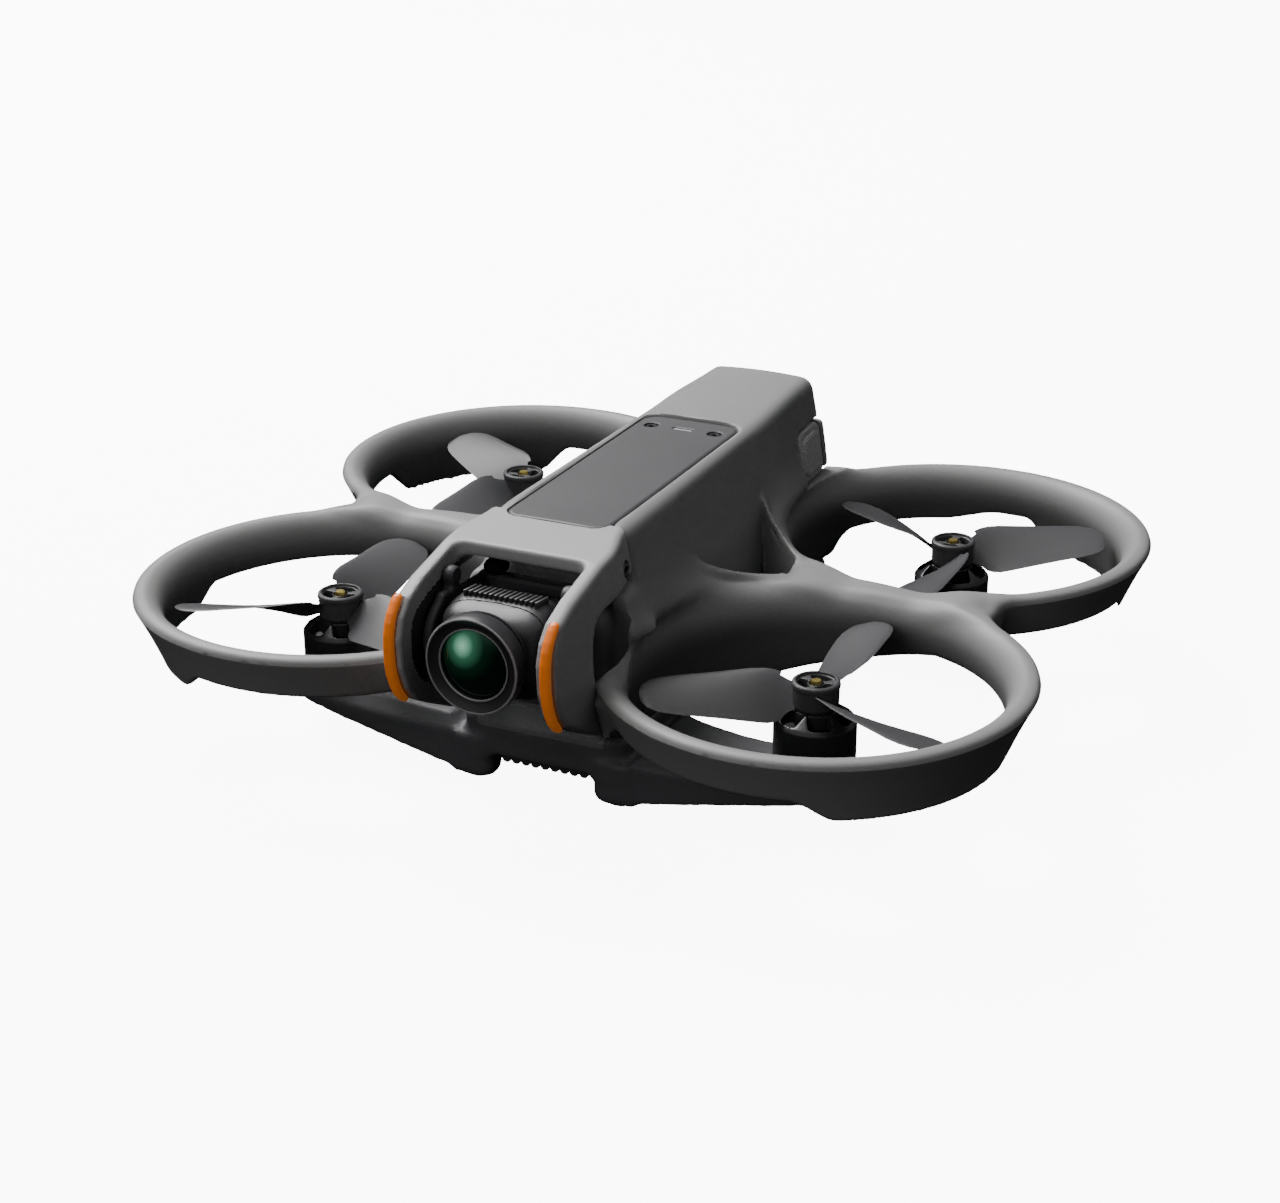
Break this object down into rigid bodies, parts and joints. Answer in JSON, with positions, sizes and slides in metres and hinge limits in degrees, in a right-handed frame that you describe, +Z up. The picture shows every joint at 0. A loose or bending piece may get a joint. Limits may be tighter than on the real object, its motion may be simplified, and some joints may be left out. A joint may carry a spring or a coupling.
{
  "type": "fpv racing drone",
  "caption": "Small ducted quadcopter with round propeller guards, a central hull, a tilting nose camera behind a bumper and a slide-in battery.",
  "frame": {"origin": "centre of the footprint, on the surface that the feet stand on", "axes": "+Z up, nose towards -Y, +X to the right seen from in front of the nose"},
  "size_m": [0.212, 0.185, 0.064],
  "materials": {
    "shell_grey": "satin fine grain",
    "bumper_grey": "satin fine grain",
    "panel_grey": "satin fine grain",
    "frame_black": "matt fine grain",
    "trim_orange": "semi-gloss",
    "propeller_grey": "satin",
    "rubber_black": "matt",
    "motor_black": "satin anodised",
    "steel": "plain",
    "window_black": "glossy",
    "lens_glass": "coated, green reflection",
    "circuit_board": "solder mask",
    "battery_wrap": "film wrap"
  },
  "bodies": {
    "airframe": {"upper_shell": "shell_grey", "lower_frame": "frame_black", "front_bumper": "bumper_grey", "top_panel": "panel_grey", "status_light": "window_black", "belly_cover": "frame_black", "distance_sensor": "window_black", "camera_bracket": "frame_black", "tilt_motor": "motor_black", "power_board": "circuit_board", "flight_board": "circuit_board", "heat_sink": "steel", "bumper_strip_left": "trim_orange", "bumper_strip_right": "trim_orange", "bumper_screw_left": "steel", "bumper_screw_right": "steel", "panel_screw_left": "steel", "panel_screw_right": "steel", "damper_left": "rubber_black", "damper_right": "rubber_black", "antenna_left": "steel", "antenna_right": "steel", "vision_lens_left": "lens_glass", "vision_lens_right": "lens_glass", "foot_front_left": "rubber_black", "foot_front_right": "rubber_black", "foot_rear_left": "rubber_black", "foot_rear_right": "rubber_black", "motor_base_front_left": "motor_black", "motor_base_front_right": "motor_black", "motor_base_rear_left": "motor_black", "motor_base_rear_right": "motor_black"},
    "camera": {"camera_housing": "frame_black", "fin_cover": "frame_black", "lens_barrel": "frame_black", "lens_bezel": "frame_black", "front_lens": "lens_glass", "sensor_board": "circuit_board", "tilt_shaft": "steel"},
    "battery": {"battery_case": "panel_grey", "cell_pack": "battery_wrap", "battery_connector": "frame_black", "battery_cap": "shell_grey", "charge_lights": "window_black"},
    "left_buckle": {"buckle_left": "panel_grey"},
    "right_buckle": {"buckle_right": "panel_grey"},
    "button": {"power_button": "frame_black"},
    "rotor_front_left": {"rotor_bell_front_left": "motor_black", "propeller_front_left": "propeller_grey"},
    "rotor_front_right": {"rotor_bell_front_right": "motor_black", "propeller_front_right": "propeller_grey"},
    "rotor_rear_left": {"rotor_bell_rear_left": "motor_black", "propeller_rear_left": "propeller_grey"},
    "rotor_rear_right": {"rotor_bell_rear_right": "motor_black", "propeller_rear_right": "propeller_grey"}
  },
  "joints": [
    {"name": "camera_tilt", "type": "hinge", "parent": "airframe", "child": "camera", "pos_m": [0, -0.075, 0.0429], "axis": [-1, 0, 0], "range_deg": [-85, 80]},
    {"name": "battery_slide", "type": "slide", "parent": "airframe", "child": "battery", "axis": [0, 1, 0], "range_m": [0, 0.09]},
    {"name": "left_buckle_press", "type": "slide", "parent": "battery", "child": "left_buckle", "axis": [1, 0, 0], "range_m": [0, 0.0015], "stiffness_N_per_m": 600, "springref_m": -0.001},
    {"name": "right_buckle_press", "type": "slide", "parent": "battery", "child": "right_buckle", "axis": [-1, 0, 0], "range_m": [0, 0.0015], "stiffness_N_per_m": 600, "springref_m": -0.001},
    {"name": "power_button_press", "type": "slide", "parent": "battery", "child": "button", "axis": [0, -1, 0], "range_m": [0, 0.0005], "stiffness_N_per_m": 800, "springref_m": -0.0005},
    {"name": "rotor_front_left_spin", "type": "hinge", "parent": "airframe", "child": "rotor_front_left", "pos_m": [-0.05892, -0.04542, 0.03], "axis": [0, 0, 1], "continuous": true},
    {"name": "rotor_front_right_spin", "type": "hinge", "parent": "airframe", "child": "rotor_front_right", "pos_m": [0.05892, -0.04542, 0.03], "axis": [0, 0, 1], "continuous": true},
    {"name": "rotor_rear_left_spin", "type": "hinge", "parent": "airframe", "child": "rotor_rear_left", "pos_m": [-0.05892, 0.04542, 0.03], "axis": [0, 0, 1], "continuous": true},
    {"name": "rotor_rear_right_spin", "type": "hinge", "parent": "airframe", "child": "rotor_rear_right", "pos_m": [0.05892, 0.04542, 0.03], "axis": [0, 0, 1], "continuous": true}
  ]
}
